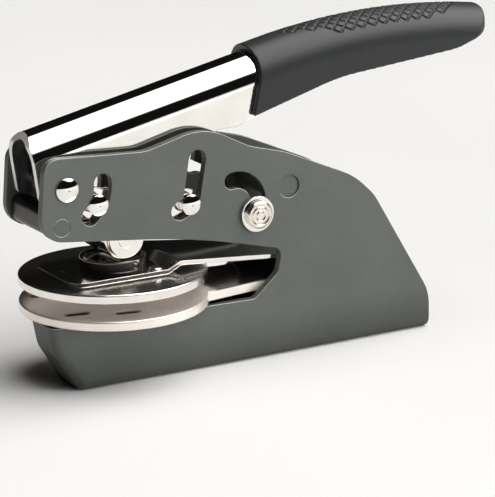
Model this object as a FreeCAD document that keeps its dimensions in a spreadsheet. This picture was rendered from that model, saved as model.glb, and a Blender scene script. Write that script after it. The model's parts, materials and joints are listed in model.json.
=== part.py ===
import FreeCAD, Part
import math
import os
from types import SimpleNamespace

import Sketcher
from FreeCAD import Placement, Rotation, Vector

# Hand-held seal embosser, in millimetres.
# Frame: origin on the die-disc axis at desk level, +X from the discs towards
# the grip, +Y to the far side plate, +Z up. The handle is at rest (open).

DIMENSIONS = {
    # frame: one folded sheet with a closed front end and two C-shaped side plates
    "shell_width": 24.3,
    "sheet": 2.2,
    "fold_radius": 3.0,
    "edge_break": 0.35,
    "base_front_x": -24.6,
    "base_top_z": 19.0,
    "base_knee_x": -23.3,
    "base_knee_z": 11.9,
    "base_knee_radius": 8.0,
    "base_toe_x": -16.3,
    "base_toe_radius": 3.6,
    "flange_reach": 0.3,
    "far_toe_x": -12.0,
    "far_knee_x": -17.4,
    "far_front_x": -18.4,
    "base_rear_x": 95.0,
    "base_rear_z": 10.7,
    "base_rear_radius": 14.0,
    "back_x": 76.6,
    "back_z": 42.2,
    "back_radius": 12.0,
    "shoulder_x": 70.2,
    "shoulder_z": 48.4,
    "shoulder_radius": 22.0,
    "waist_x": 47.7,
    "waist_z": 58.3,
    "waist_radius": 30.0,
    "saddle_x": 37.0,
    "saddle_z": 61.1,
    "saddle_radius": 14.0,
    "hump_x": 22.9,
    "hump_z": 68.4,
    "hump_radius": 18.0,
    "neck_x": 5.0,
    "neck_z": 63.9,
    "neck_radius": 14.0,
    "nose_top_x": -24.9,
    "nose_top_z": 65.6,
    "nose_top_radius": 4.5,
    "nose_low_x": -26.9,
    "nose_low_z": 43.4,
    "nose_low_radius": 6.5,
    "jaw_x": 17.6,
    "jaw_z": 38.2,
    "jaw_radius": 215.0,
    "throat_x": 46.5,
    "throat_top_z": 30.8,
    "throat_top_radius": 2.5,
    "throat_low_x": 45.0,
    "throat_low_z": 24.1,
    "throat_low_radius": 3.5,
    "sill_x": 37.6,
    "sill_z": 17.7,
    "sill_radius": 2.5,
    # handle pivot, lever pin, guide pin and lock slot in the side plates
    "pivot_x": -18.7,
    "pivot_z": 56.7,
    "pivot_radius": 2.4,
    "pivot_head_radius": 3.25,
    "crank_radius": 10.6,
    "crank_rest_angle": -31.0,
    "crank_top_angle": 2.0,
    "crank_low_angle": -51.0,
    "pin_radius": 2.47,
    "pin_head_radius": 2.85,
    "pin_slot_half": 2.62,
    "guide_x": 18.2,
    "guide_z": 47.4,
    "guide_top_x": 20.5,
    "guide_top_z": 59.7,
    "guide_end_x": 14.8,
    "guide_end_z": 46.1,
    "lock_centre_x": 32.3,
    "lock_centre_z": 45.4,
    "lock_path_radius": 6.9,
    "lock_rest_angle": -28.6,
    "lock_shut_angle": 100.4,
    "lock_shaft_radius": 2.2,
    "lock_slot_half": 2.35,
    "head_gap": 0.12,
    "pin_head": 0.95,
    "pin_dome": 0.75,
    "pivot_head": 1.3,
    "pivot_dome": 0.95,
    "fit": 0.04,
    "side_gap": 0.25,
    "seat_gap": 0.3,
    # spacers that hold the side plates apart
    "front_spacer_x": -20.5,
    "front_spacer_z": 46.6,
    "front_spacer_depth": 6.8,
    "front_spacer_height": 7.4,
    "front_spacer_lead": 4.5,
    "front_spacer_sink": 2.5,
    "front_spacer_bevel": 2.45,
    "front_tenon_radius": 2.4,
    "rear_spacer_x": 49.0,
    "rear_spacer_z": 48.3,
    "rear_tenon_radius": 3.2,
    "rear_spacer_radius": 4.6,
    "tenon_recess": 0.5,
    "rest_rod_front_x": 50.0,
    "rest_rod_rear_x": 60.5,
    "rest_rod_radius": 2.6,
    # die discs and the sprung clip that carries them
    "disc_radius": 26.0,
    "lower_disc_thickness": 2.7,
    "upper_disc_thickness": 2.6,
    "paper_gap": 4.75,
    "disc_edge_radius": 0.5,
    "clip_rear_x": 82.0,
    "clip_half_width": 9.8,
    "clip_enter_x": 38.5,
    "lower_shoulder_x": 22.6,
    "lower_shoulder_half": 12.0,
    "grip_slot_length": 7.6,
    "grip_slot_half": 1.7,
    "grip_slot_angle": -12.0,
    "outer_slot_x": -16.7,
    "outer_slot_y": 10.9,
    "inner_slot_x": -4.4,
    "inner_slot_y": 16.8,
    "arm_sheet": 1.2,
    "arm_root_x": 10.5,
    "arm_root_half": 12.9,
    "arm_crest_x": 14.6,
    "arm_rise": 1.75,
    "arm_bend_radius": 2.5,
    "arm_seat_x": 63.0,
    "arm_drop": 3.6,
    "arm_enter_x": 45.2,
    "spade_front_x": -18.3,
    "spade_front_half": 12.6,
    "spade_front_radius": 5.0,
    "spade_hole_x": -14.6,
    "spade_hole_radius": 1.1,
    "clip_spacer_length": 17.0,
    "clip_rivet_radius": 1.9,
    "clip_rivet_head_radius": 3.6,
    "clip_rivet_head": 1.1,
    "clip_rivet_pitch": 9.0,
    "foot_radius": 9.1,
    "foot_height": 3.0,
    "foot_rim": 1.4,
    "foot_dish": 0.5,
    "disc_rivet_x": 7.6,
    "disc_rivet_y": 10.7,
    "disc_rivet_radius": 1.2,
    "disc_rivet_head_radius": 1.9,
    "disc_rivet_head": 0.8,
    # lever: two cheeks that carry the roller
    "cheek_thickness": 1.4,
    "cheek_arm_half": 3.9,
    "cheek_hub_radius": 4.3,
    "roller_x": -0.3,
    "roller_z": 39.9,
    "roller_radius": 5.8,
    "roller_cheek_radius": 5.1,
    "roller_axle_radius": 2.0,
    "roller_axle_head": 2.5,
    "cheek_spacer_radius": 3.3,
    # handle: a half-round channel with a moulded grip
    "handle_slope_angle": 12.0,
    "handle_axis_x": -24.5,
    "handle_axis_z": 62.86,
    "handle_radius": 7.9,
    "handle_sheet": 1.8,
    "handle_straight": 76.3,
    "handle_bend_radius": 190.0,
    "handle_sweep_angle": 25.0,
    "handle_lead": 6.0,
    "channel_depth": 26.0,
    "channel_front_x": -26.3,
    "channel_front_z": 67.5,
    "channel_crown_x": -24.2,
    "channel_crown_z": 72.7,
    "channel_toe_x": -24.3,
    "channel_toe_z": 52.3,
    "crank_lobe": 4.4,
    "channel_belly_x": 1.5,
    "channel_belly_z": 57.5,
    "hook_root_x": 19.0,
    "hook_root_z": 59.7,
    "hook_low_x": 26.0,
    "hook_low_z": 55.9,
    "hook_tip_x": 34.2,
    "hook_top_z": 60.7,
    "notch_x": 28.2,
    "notch_top_z": 66.0,
    "flange_rise_x": 35.3,
    "grip_front_x": 41.8,
    "flange_rear_z": 68.8,
    "grip_radius": 9.72,
    "grip_mouth_x": 39.9,
    "grip_mouth_z": 68.6,
    "grip_throat_x": 42.9,
    "grip_throat_z": 82.0,
    "grip_throat_radius": 16.0,
    "grip_rim_x": 41.2,
    "grip_rim_z": 89.7,
    "grip_floor": 1.9,
    "grip_low_mid_x": 67.0,
    "grip_low_mid_z": 76.3,
    "grip_low_end_x": 106.0,
    "grip_low_end_z": 79.9,
    "grip_heel_x": 120.7,
    "grip_heel_z": 83.7,
    "grip_crown_z": 100.7,
    "grip_end_x": 120.7,
    "grip_end_top_z": 90.9,
    "grip_end_radius": 4.4,
    "grip_plan_radius": 8.0,
    "grip_wall_end": 4.0,
    # lock buttons on the ends of the lock shaft
    "lock_washer_radius": 5.0,
    "lock_washer": 0.9,
    "lock_button_radius": 3.85,
    "lock_button": 1.6,
    "lock_ring_depth": 0.22,
    # handle return spring, wound on the pivot pin
    "spring_wire": 1.2,
    "spring_turns": 2.5,
    "spring_pitch": 1.35,
    "spring_clearance": 0.3,
    "handle_squeeze_angle": 13.0,
}

doc = FreeCAD.newDocument("seal_embosser")
sheet = doc.addObject("Spreadsheet::Sheet", "Dims")


class Size:
    """A size known both as a spreadsheet expression and as a number."""

    def __init__(self, text, number):
        self.text = text
        self.number = number

    def __add__(self, other):
        other = as_size(other)
        return Size(f"({self.text} + {other.text})", self.number + other.number)

    def __sub__(self, other):
        other = as_size(other)
        return Size(f"({self.text} - {other.text})", self.number - other.number)

    def __mul__(self, other):
        other = as_size(other)
        return Size(f"({self.text} * {other.text})", self.number * other.number)

    def __truediv__(self, other):
        other = as_size(other)
        return Size(f"({self.text} / {other.text})", self.number / other.number)

    def __neg__(self):
        return Size(f"(-1 * {self.text})", -self.number)


def as_size(value):
    """Wrap a plain number."""
    if isinstance(value, Size):
        return value
    return Size(repr(float(value)), float(value))


def sine(angle):
    return Size(f"sin({angle.text})", math.sin(math.radians(angle.number)))


def cosine(angle):
    return Size(f"cos({angle.text})", math.cos(math.radians(angle.number)))


def span(from_x, from_z, to_x, to_z):
    """Distance between two points."""
    run = to_x - from_x
    rise = to_z - from_z
    text = f"sqrt({run.text} ^ 2 + {rise.text} ^ 2)"
    return Size(text, math.hypot(run.number, rise.number))


for row, (alias, amount) in enumerate(DIMENSIONS.items(), start=1):
    sheet.set(f"A{row}", str(amount))
    sheet.setAlias(f"A{row}", alias)
doc.recompute()
dim = SimpleNamespace(**{name: Size(f"Dims.{name}", value) for name, value in DIMENSIONS.items()})

# Sizes that several pieces share
shell_half = dim.shell_width / 2
inner_half = shell_half - dim.sheet
cheek_outer = inner_half - dim.side_gap
cheek_inner = cheek_outer - dim.cheek_thickness
crank_x = dim.pivot_x + dim.crank_radius * cosine(dim.crank_rest_angle)
crank_z = dim.pivot_z + dim.crank_radius * sine(dim.crank_rest_angle)
lock_x = dim.lock_centre_x + dim.lock_path_radius * cosine(dim.lock_rest_angle)
lock_z = dim.lock_centre_z + dim.lock_path_radius * sine(dim.lock_rest_angle)
lower_disc_z = dim.base_top_z + dim.seat_gap
lower_disc_top = lower_disc_z + dim.lower_disc_thickness
upper_disc_z = lower_disc_top + dim.paper_gap
upper_disc_top = upper_disc_z + dim.upper_disc_thickness
arm_top = upper_disc_top + dim.arm_sheet
arm_seat_z = upper_disc_top - dim.arm_drop
rest_rod_z = lower_disc_z - dim.rest_rod_radius - dim.fit
clip_stop_x = dim.clip_rear_x + dim.seat_gap + dim.rest_rod_radius


# ---------------------------------------------------------------- builders

def new_body(name):
    return doc.addObject("PartDesign::Body", name)


def new_sketch(body, role, name="outline"):
    """A sketch on one of the body's own origin planes."""
    sketch = body.newObject("Sketcher::SketchObject", f"{body.Name}_{name}")
    plane = [item for item in body.Origin.OriginFeatures if item.Role == role][0]
    sketch.AttachmentSupport = [(plane, "")]
    sketch.MapMode = "FlatFace"
    return sketch


def pin_point(sketch, geometry, point, x, y):
    """Hold a point at the coordinates x, y."""
    for kind, size in (("DistanceX", x), ("DistanceY", y)):
        size = as_size(size)
        index = sketch.addConstraint(Sketcher.Constraint(kind, -1, 1, geometry, point, size.number))
        sketch.setExpression(f"Constraints[{index}]", size.text)


def set_radius(sketch, geometry, radius):
    index = sketch.addConstraint(Sketcher.Constraint("Radius", geometry, radius.number))
    sketch.setExpression(f"Constraints[{index}]", radius.text)


def arc_between(start, end, radius):
    """An arc that turns left from start to end and bulges to the right of the chord."""
    chord = end - start
    left = Vector(-chord.y, chord.x, 0).normalize()
    centre = (start + end) / 2 + left * math.sqrt(radius ** 2 - (chord.Length / 2) ** 2)
    angles = [math.atan2(point.y - centre.y, point.x - centre.x) for point in (start, end)]
    return Part.ArcOfCircle(Part.Circle(centre, Vector(0, 0, 1), radius), *angles)


def draw_polygon(sketch, corners, arcs=None):
    """A closed outline through the corners; arcs gives the radius of the runs that are round."""
    arcs = arcs or {}
    corners = [(as_size(corner[0]), as_size(corner[1])) for corner in corners]
    points = [Vector(x.number, y.number, 0) for x, y in corners]
    first = sketch.GeometryCount
    count = len(points)
    for i in range(count):
        start, end = points[i], points[(i + 1) % count]
        if i in arcs:
            sketch.addGeometry(arc_between(start, end, arcs[i].number))
        else:
            sketch.addGeometry(Part.LineSegment(start, end))
    for i in range(count):
        joint = Sketcher.Constraint("Coincident", first + i, 2, first + (i + 1) % count, 1)
        sketch.addConstraint(joint)
    for i, (x, y) in enumerate(corners):
        pin_point(sketch, first + i, 1, x, y)
    for i, radius in arcs.items():
        set_radius(sketch, first + i, radius)


def draw_circle(sketch, x, y, radius):
    x = as_size(x)
    y = as_size(y)
    centre = Vector(x.number, y.number, 0)
    index = sketch.addGeometry(Part.Circle(centre, Vector(0, 0, 1), radius.number))
    pin_point(sketch, index, 3, x, y)
    set_radius(sketch, index, radius)


def draw_sector(sketch, x, y, inner, outer, start, end):
    """A ring sector about x, y between two angles."""
    centre = Vector(x.number, y.number, 0)
    normal = Vector(0, 0, 1)
    angles = (math.radians(start.number), math.radians(end.number))
    arcs = []
    for radius in (inner, outer):
        circle = Part.Circle(centre, normal, radius.number)
        arcs.append(sketch.addGeometry(Part.ArcOfCircle(circle, *angles)))
        set_radius(sketch, arcs[-1], radius)
    pin_point(sketch, arcs[0], 3, x, y)
    sketch.addConstraint(Sketcher.Constraint("Coincident", arcs[0], 3, arcs[1], 3))
    for angle, point in ((start, 1), (end, 2)):
        turn = math.radians(angle.number)
        direction = Vector(math.cos(turn), math.sin(turn), 0)
        near = centre + direction * inner.number
        far = centre + direction * outer.number
        ray = sketch.addGeometry(Part.LineSegment(centre, near), True)
        side = sketch.addGeometry(Part.LineSegment(near, far))
        sketch.addConstraint(Sketcher.Constraint("Coincident", ray, 1, arcs[0], 3))
        sketch.addConstraint(Sketcher.Constraint("Coincident", ray, 2, arcs[0], point))
        sketch.addConstraint(Sketcher.Constraint("Coincident", side, 1, arcs[0], point))
        sketch.addConstraint(Sketcher.Constraint("Coincident", side, 2, arcs[1], point))
        sketch.addConstraint(Sketcher.Constraint("Parallel", ray, side))
        index = sketch.addConstraint(Sketcher.Constraint("Angle", ray, turn))
        sketch.setExpression(f"Constraints[{index}]", f"{angle.text} * 1 deg")


def bar_corners(from_x, from_z, to_x, to_z, half):
    """Corners of a straight bar between two points."""
    length = span(from_x, from_z, to_x, to_z)
    across_x = (from_z - to_z) / length * half
    across_z = (to_x - from_x) / length * half
    return [
        (from_x + across_x, from_z + across_z),
        (from_x - across_x, from_z - across_z),
        (to_x - across_x, to_z - across_z),
        (to_x + across_x, to_z + across_z),
    ]


def extrude(body, sketch, length, kind="PartDesign::Pad"):
    """Pad or pocket a sketch by equal amounts to both sides of its plane."""
    feature = body.newObject(kind, sketch.Name + "_" + kind.split("::")[1].lower())
    feature.Profile = sketch
    feature.SideType = "Symmetric"
    feature.setExpression("Length", length.text)
    doc.recompute()
    return feature


def pocket(body, sketch, length):
    """Cut a sketch through the body; it must take material away."""
    before = body.Shape.Volume
    feature = extrude(body, sketch, length, "PartDesign::Pocket")
    if body.Shape.Volume > before - 0.01:
        raise RuntimeError(f"{feature.Name} cuts nothing")
    return feature


def fillet_edges(body, edges, radius, kind="PartDesign::Fillet"):
    """Round or bevel the listed edges of the body's tip."""
    base = body.Tip
    feature = body.newObject(kind, f"{body.Name}_{kind.split('::')[1].lower()}")
    feature.Base = (base, edges)
    feature.setExpression("Size" if kind.endswith("Chamfer") else "Radius", radius.text)
    doc.recompute()
    return feature


def find_edges(shape, test):
    return [f"Edge{i}" for i, edge in enumerate(shape.Edges, start=1) if test(edge)]


def turns(shape, edge):
    """Whether the two faces at a straight edge meet at an angle that can be rounded."""
    middle = edge.CenterOfMass
    faces = shape.ancestorsOfType(edge, Part.Face)
    normals = [face.normalAt(*face.Surface.parameter(middle)) for face in faces]
    return normals[0].getAngle(normals[-1]) > math.radians(6)


def round_corners(body, role, corners):
    """Round the corners of an extruded outline, each by its own radius."""
    radii = []
    for corner in corners:
        if len(corner) == 3 and corner[2].text not in [radius.text for radius in radii]:
            radii.append(corner[2])
    for radius in radii:
        places = []
        for corner in corners:
            if len(corner) == 3 and corner[2].text == radius.text:
                places.append((as_size(corner[0]).number, as_size(corner[1]).number))

        def at_corner(edge):
            ends = [vertex.Point for vertex in edge.Vertexes]
            if len(ends) < 2:
                return False
            flat = [(end.x, end.z) if role == "XZ_Plane" else (end.x, end.y) for end in ends]
            if math.dist(flat[0], flat[1]) > 1e-4:
                return False
            return any(math.dist(flat[0], place) < 1e-3 for place in places)

        solid = body.Tip.Shape
        edges = find_edges(solid, lambda edge: at_corner(edge) and turns(solid, edge))
        if edges:
            fillet_edges(body, edges, radius)


def prism(name, role, corners, length, offset=None):
    """An extruded outline, centred on its plane or on an offset from it."""
    body = new_body(name)
    sketch = new_sketch(body, role)
    if offset is not None:
        sketch.setExpression("AttachmentOffset.Base.z", offset.text)
    draw_polygon(sketch, corners)
    extrude(body, sketch, length)
    round_corners(body, role, corners)
    return body


def turned(name, role, profile, x, y, z, arcs=None):
    """A turned piece: a half section of (radius, height) corners, spun on its axis."""
    body = new_body(name)
    sketch = new_sketch(body, role)
    draw_polygon(sketch, profile, arcs)
    spin = body.newObject("PartDesign::Revolution", name + "_spin")
    spin.Profile = sketch
    spin.ReferenceAxis = (sketch, ["V_Axis"])
    spin.Angle = 360
    for axis, size in (("x", x), ("y", y), ("z", z)):
        body.setExpression(f"Placement.Base.{axis}", as_size(size).text)
    doc.recompute()
    return body


def round_rims(body, radius, rims):
    """Round circular edges, each named by its own radius and height along the axis."""
    def at_rim(edge):
        curve = edge.Curve
        if not isinstance(curve, Part.Circle):
            return False
        height = curve.Center.y if abs(curve.Axis.y) > 0.5 else curve.Center.z
        return any(abs(curve.Radius - rim.number) < 1e-3 and abs(height - level.number) < 1e-3
                   for rim, level in rims)

    return fillet_edges(body, find_edges(body.Tip.Shape, at_rim), radius)


def combine(kind, name, shapes):
    """A Part boolean of whole pieces."""
    result = doc.addObject(kind, name)
    if kind == "Part::Cut":
        result.Base, result.Tool = shapes
    elif kind == "Part::Compound":
        result.Links = shapes
    else:
        result.Shapes = shapes
    doc.recompute()
    return result


def headed_pin(name, x, z, radius, head_radius, head, dome):
    """A pin across the frame with a domed head outside each plate."""
    face = shell_half + dim.head_gap
    end = face + head
    ball = (head_radius * head_radius + dome * dome) / (dome * 2)
    profile = [
        (0, -end),
        (head_radius, dome - end),
        (head_radius, -face),
        (radius, -face),
        (radius, face),
        (head_radius, face),
        (head_radius, end - dome),
        (0, end),
    ]
    return turned(name, "XY_Plane", profile, x, 0, z, {0: ball, 6: ball})


def ring_pair(name, x, z, inner, outer, near, far):
    """Two equal rings, one on each side of the frame."""
    profile = [(inner, near), (outer, near), (outer, far), (inner, far)]
    mirrored = [(inner, -near), (outer, -near), (outer, -far), (inner, -far)]
    pair = [
        turned(name + "_far", "XY_Plane", profile, x, 0, z),
        turned(name + "_near", "XY_Plane", mirrored, x, 0, z),
    ]
    return combine("Part::Compound", name, pair)


# ---------------------------------------------------------------- frame

def cut_straight_slot(body, name, points, half):
    """A slot that runs through the given points in straight stretches."""
    length = dim.shell_width * 2
    for i in range(len(points) - 1):
        sketch = new_sketch(body, "XZ_Plane", f"{name}_run_{i}")
        draw_polygon(sketch, bar_corners(*points[i], *points[i + 1], half))
        pocket(body, sketch, length)
    for i, (x, z) in enumerate(points):
        sketch = new_sketch(body, "XZ_Plane", f"{name}_turn_{i}")
        draw_circle(sketch, x, z, half)
        pocket(body, sketch, length)


def cut_arc_slot(body, name, x, z, radius, start, end, half):
    """A slot that follows an arc about x, z."""
    length = dim.shell_width * 2
    sketch = new_sketch(body, "XZ_Plane", f"{name}_arc")
    draw_sector(sketch, x, z, radius - half, radius + half, start, end)
    pocket(body, sketch, length)
    ends = new_sketch(body, "XZ_Plane", f"{name}_ends")
    for angle in (start, end):
        draw_circle(ends, x + radius * cosine(angle), z + radius * sine(angle), half)
    pocket(body, ends, length)


def make_frame_shell():
    """The folded frame: a tub with a closed front, and a C-shaped plate on each side."""
    body = new_body("frame_shell")
    base = [
        (dim.base_toe_x, 0, dim.base_toe_radius),
        (dim.base_knee_x, dim.base_knee_z, dim.base_knee_radius),
    ]
    upper = [
        (dim.base_front_x, dim.base_top_z),
        (dim.sill_x, dim.sill_z, dim.sill_radius),
        (dim.throat_low_x, dim.throat_low_z, dim.throat_low_radius),
        (dim.throat_x, dim.throat_top_z, dim.throat_top_radius),
        (dim.jaw_x, dim.jaw_z, dim.jaw_radius),
        (dim.nose_low_x, dim.nose_low_z, dim.nose_low_radius),
        (dim.nose_top_x, dim.nose_top_z, dim.nose_top_radius),
        (dim.neck_x, dim.neck_z, dim.neck_radius),
        (dim.hump_x, dim.hump_z, dim.hump_radius),
        (dim.saddle_x, dim.saddle_z, dim.saddle_radius),
        (dim.waist_x, dim.waist_z, dim.waist_radius),
        (dim.shoulder_x, dim.shoulder_z, dim.shoulder_radius),
        (dim.back_x, dim.back_z, dim.back_radius),
        (dim.base_rear_x, dim.base_rear_z, dim.base_rear_radius),
        (dim.base_rear_x, 0),
    ]
    sketch = new_sketch(body, "XZ_Plane")
    draw_polygon(sketch, base + upper)
    extrude(body, sketch, dim.shell_width)
    round_corners(body, "XZ_Plane", base)

    def along_bottom(edge):
        ends = [vertex.Point for vertex in edge.Vertexes]
        return all(abs(end.z) < 1e-4 for end in ends) and abs(ends[0].y - ends[-1].y) < 1e-4

    # the fold runs from the rear along the floor and up the front end
    fillet_edges(body, find_edges(body.Tip.Shape, along_bottom), dim.fold_radius)
    round_corners(body, "XZ_Plane", upper)

    # the room between the plates, open at the top and at the rear
    room = new_sketch(body, "XZ_Plane", "room")
    above = dim.hump_z + dim.sheet
    ahead = dim.nose_low_x - dim.sheet
    behind = dim.base_rear_x + dim.sheet
    draw_polygon(room, [
        (dim.base_toe_x + dim.sheet / 2, dim.sheet),
        (dim.base_knee_x + dim.sheet, dim.base_knee_z),
        (dim.base_front_x + dim.sheet, dim.base_top_z + dim.edge_break),
        (ahead, dim.base_top_z + dim.edge_break),
        (ahead, above),
        (behind, above),
        (behind, dim.sheet),
    ])
    pocket(body, room, inner_half * 2)

    # the front end is a flange folded in from the near plate; the far plate stands back
    cut_width = shell_half - dim.flange_reach + dim.sheet
    step = new_sketch(body, "XZ_Plane", "step")
    step.setExpression("AttachmentOffset.Base.z", (-(dim.flange_reach + cut_width / 2)).text)
    draw_polygon(step, [
        (ahead, -dim.sheet),
        (dim.far_toe_x, -dim.sheet),
        (dim.far_toe_x, 0),
        (dim.far_knee_x, dim.base_knee_z),
        (dim.far_front_x, dim.base_top_z + dim.edge_break),
        (ahead, dim.base_top_z + dim.edge_break),
    ])
    pocket(body, step, cut_width)

    cut_arc_slot(body, "crank", dim.pivot_x, dim.pivot_z, dim.crank_radius,
                 dim.crank_low_angle, dim.crank_top_angle, dim.pin_slot_half)
    guide_path = [
        (dim.guide_top_x, dim.guide_top_z),
        (dim.guide_x, dim.guide_z),
        (dim.guide_end_x, dim.guide_end_z),
    ]
    cut_straight_slot(body, "guide", guide_path, dim.pin_slot_half)
    cut_arc_slot(body, "lock", dim.lock_centre_x, dim.lock_centre_z, dim.lock_path_radius,
                 dim.lock_rest_angle, dim.lock_shut_angle, dim.lock_slot_half)

    holes = new_sketch(body, "XZ_Plane", "holes")
    draw_circle(holes, dim.pivot_x, dim.pivot_z, dim.pivot_radius + dim.fit)
    draw_circle(holes, dim.front_spacer_x, dim.front_spacer_z, dim.front_tenon_radius + dim.fit)
    draw_circle(holes, dim.rear_spacer_x, dim.rear_spacer_z, dim.rear_tenon_radius + dim.fit)
    pocket(body, holes, dim.shell_width * 2)
    return body


def make_front_spacer():
    """The block that closes the nose between the plates, with a riveted tenon each side."""
    body = new_body("front_spacer")
    front = dim.front_spacer_x - dim.front_spacer_lead
    rear = front + dim.front_spacer_depth
    low = dim.front_spacer_z - dim.front_spacer_sink
    top = low + dim.front_spacer_height
    corners = [
        (front, low, dim.front_tenon_radius),
        (rear, low),
        (rear, top - dim.front_spacer_bevel),
        (rear - dim.front_spacer_bevel, top),
        (front, top, dim.sheet),
    ]
    sketch = new_sketch(body, "XZ_Plane")
    draw_polygon(sketch, corners)
    extrude(body, sketch, (inner_half - dim.fit) * 2)
    round_corners(body, "XZ_Plane", corners)
    tenon = new_sketch(body, "XZ_Plane", "tenon")
    draw_circle(tenon, dim.front_spacer_x, dim.front_spacer_z, dim.front_tenon_radius)
    extrude(body, tenon, (shell_half - dim.fit) * 2)
    return body


def make_stepped_rod(name, x, z, radius, tenon_radius, tenon_half):
    """A round spacer between the plates with a thinner tenon in each plate."""
    shoulder = inner_half - dim.fit
    profile = [
        (0, -tenon_half),
        (tenon_radius, -tenon_half),
        (tenon_radius, -shoulder),
        (radius, -shoulder),
        (radius, shoulder),
        (tenon_radius, shoulder),
        (tenon_radius, tenon_half),
        (0, tenon_half),
    ]
    return turned(name, "XY_Plane", profile, x, 0, z)


def make_cross_rod(name, x, z, radius):
    """A plain rod welded in between the plates."""
    profile = [(0, -inner_half), (radius, -inner_half), (radius, inner_half), (0, inner_half)]
    return turned(name, "XY_Plane", profile, x, 0, z)


# ---------------------------------------------------------------- die clip

def flat_disc(name, thickness, floor):
    """A die disc with softened rims."""
    profile = [(0, 0), (dim.disc_radius, 0), (dim.disc_radius, thickness), (0, thickness)]
    body = turned(name, "XZ_Plane", profile, 0, 0, floor)
    zero = as_size(0)
    round_rims(body, dim.disc_edge_radius, [(dim.disc_radius, zero), (dim.disc_radius, thickness)])
    return body


def slot_cutter(name, x, y, sign, floor, height):
    """A round-ended slot tool, standing on the given floor."""
    tilt = dim.grip_slot_angle
    reach = dim.grip_slot_length / 2 - dim.grip_slot_half
    run_x = reach * cosine(tilt)
    run_y = reach * sine(tilt) * sign
    centre_y = y * -sign
    ends = [(x - run_x, centre_y - run_y), (x + run_x, centre_y + run_y)]
    body = new_body(name)
    bar = new_sketch(body, "XY_Plane", "bar")
    bar.setExpression("AttachmentOffset.Base.z", floor.text)
    draw_polygon(bar, bar_corners(*ends[0], *ends[1], dim.grip_slot_half))
    extrude(body, bar, height)
    for i, (end_x, end_y) in enumerate(ends):
        tip = new_sketch(body, "XY_Plane", f"end_{i}")
        tip.setExpression("AttachmentOffset.Base.z", floor.text)
        draw_circle(tip, end_x, end_y, dim.grip_slot_half)
        extrude(body, tip, height)
    return body


def make_lower_die_plate():
    """The lower disc and its arm, which slides in between the frame plates."""
    disc = flat_disc("lower_disc", dim.lower_disc_thickness, lower_disc_z)
    arm = prism("lower_arm", "XY_Plane", [
        (0, -dim.lower_shoulder_half),
        (dim.lower_shoulder_x, -dim.lower_shoulder_half),
        (dim.clip_enter_x, -dim.clip_half_width),
        (dim.clip_rear_x, -dim.clip_half_width, dim.sheet),
        (dim.clip_rear_x, dim.clip_half_width, dim.sheet),
        (dim.clip_enter_x, dim.clip_half_width),
        (dim.lower_shoulder_x, dim.lower_shoulder_half),
        (0, dim.lower_shoulder_half),
    ], dim.lower_disc_thickness, lower_disc_z + dim.lower_disc_thickness / 2)
    blank = combine("Part::MultiFuse", "lower_blank", [disc, arm])
    cutters = []
    depth = dim.lower_disc_thickness * 4
    for sign in (1, -1):
        side = "near" if sign > 0 else "far"
        cutters.append(slot_cutter(f"outer_slot_{side}", dim.outer_slot_x, dim.outer_slot_y,
                                   sign, lower_disc_z, depth))
        cutters.append(slot_cutter(f"inner_slot_{side}", dim.inner_slot_x, dim.inner_slot_y,
                                   sign, lower_disc_z, depth))
    cutters += rivet_holes("lower_rivet_hole", lower_disc_z, depth, dim.clip_rivet_radius + dim.fit)
    tool = combine("Part::MultiFuse", "lower_slots", cutters)
    return combine("Part::Cut", "lower_die_plate", [blank, tool])


def rivet_places():
    """Centres of the two rivets at the rear of the clip."""
    middle = dim.clip_rear_x - dim.clip_spacer_length / 2
    return [middle - dim.clip_rivet_pitch / 2, middle + dim.clip_rivet_pitch / 2]


def upright(name, x, y, z, radius, height):
    """A plain vertical cylinder."""
    cylinder = doc.addObject("Part::Cylinder", name)
    cylinder.setExpression("Radius", radius.text)
    cylinder.setExpression("Height", height.text)
    for axis, size in (("x", x), ("y", y), ("z", z)):
        cylinder.setExpression(f"Placement.Base.{axis}", as_size(size).text)
    return cylinder


def rivet_holes(name, middle_z, height, radius):
    """Round tools at the two rivet places, centred on the given height."""
    return [upright(f"{name}_{i}", x, 0, middle_z - height / 2, radius, height)
            for i, x in enumerate(rivet_places())]


def make_clip_spacer():
    """The block between the two arms of the clip."""
    height = arm_seat_z - dim.seat_gap - lower_disc_top
    front = dim.clip_rear_x - dim.clip_spacer_length
    block = prism("clip_spacer_block", "XY_Plane", [
        (front, -dim.clip_half_width, dim.edge_break),
        (dim.clip_rear_x, -dim.clip_half_width, dim.sheet),
        (dim.clip_rear_x, dim.clip_half_width, dim.sheet),
        (front, dim.clip_half_width, dim.edge_break),
    ], height, lower_disc_top + height / 2)
    holes = rivet_holes("spacer_hole", lower_disc_top, height * 4, dim.clip_rivet_radius + dim.fit)
    tool = combine("Part::MultiFuse", "spacer_holes", holes)
    return combine("Part::Cut", "clip_spacer", [block, tool])


def make_clip_rivets():
    """Two rivets through the lower arm, the spacer and the upper arm."""
    low = lower_disc_z - dim.clip_rivet_head
    under = lower_disc_z
    over = arm_seat_z + dim.arm_sheet + dim.seat_gap
    top = over + dim.clip_rivet_head
    rivets = []
    for i, x in enumerate(rivet_places()):
        profile = [
            (0, low),
            (dim.clip_rivet_head_radius, low),
            (dim.clip_rivet_head_radius, under),
            (dim.clip_rivet_radius, under),
            (dim.clip_rivet_radius, over),
            (dim.clip_rivet_head_radius, over),
            (dim.clip_rivet_head_radius, top),
            (0, top),
        ]
        rivet = turned(f"clip_rivet_{i}", "XZ_Plane", profile, x, 0, 0)
        round_rims(rivet, dim.clip_rivet_head * 0.6, [
            (dim.clip_rivet_head_radius, low),
            (dim.clip_rivet_head_radius, top),
        ])
        rivets.append(rivet)
    return combine("Part::Compound", "clip_rivets", rivets)


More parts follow.
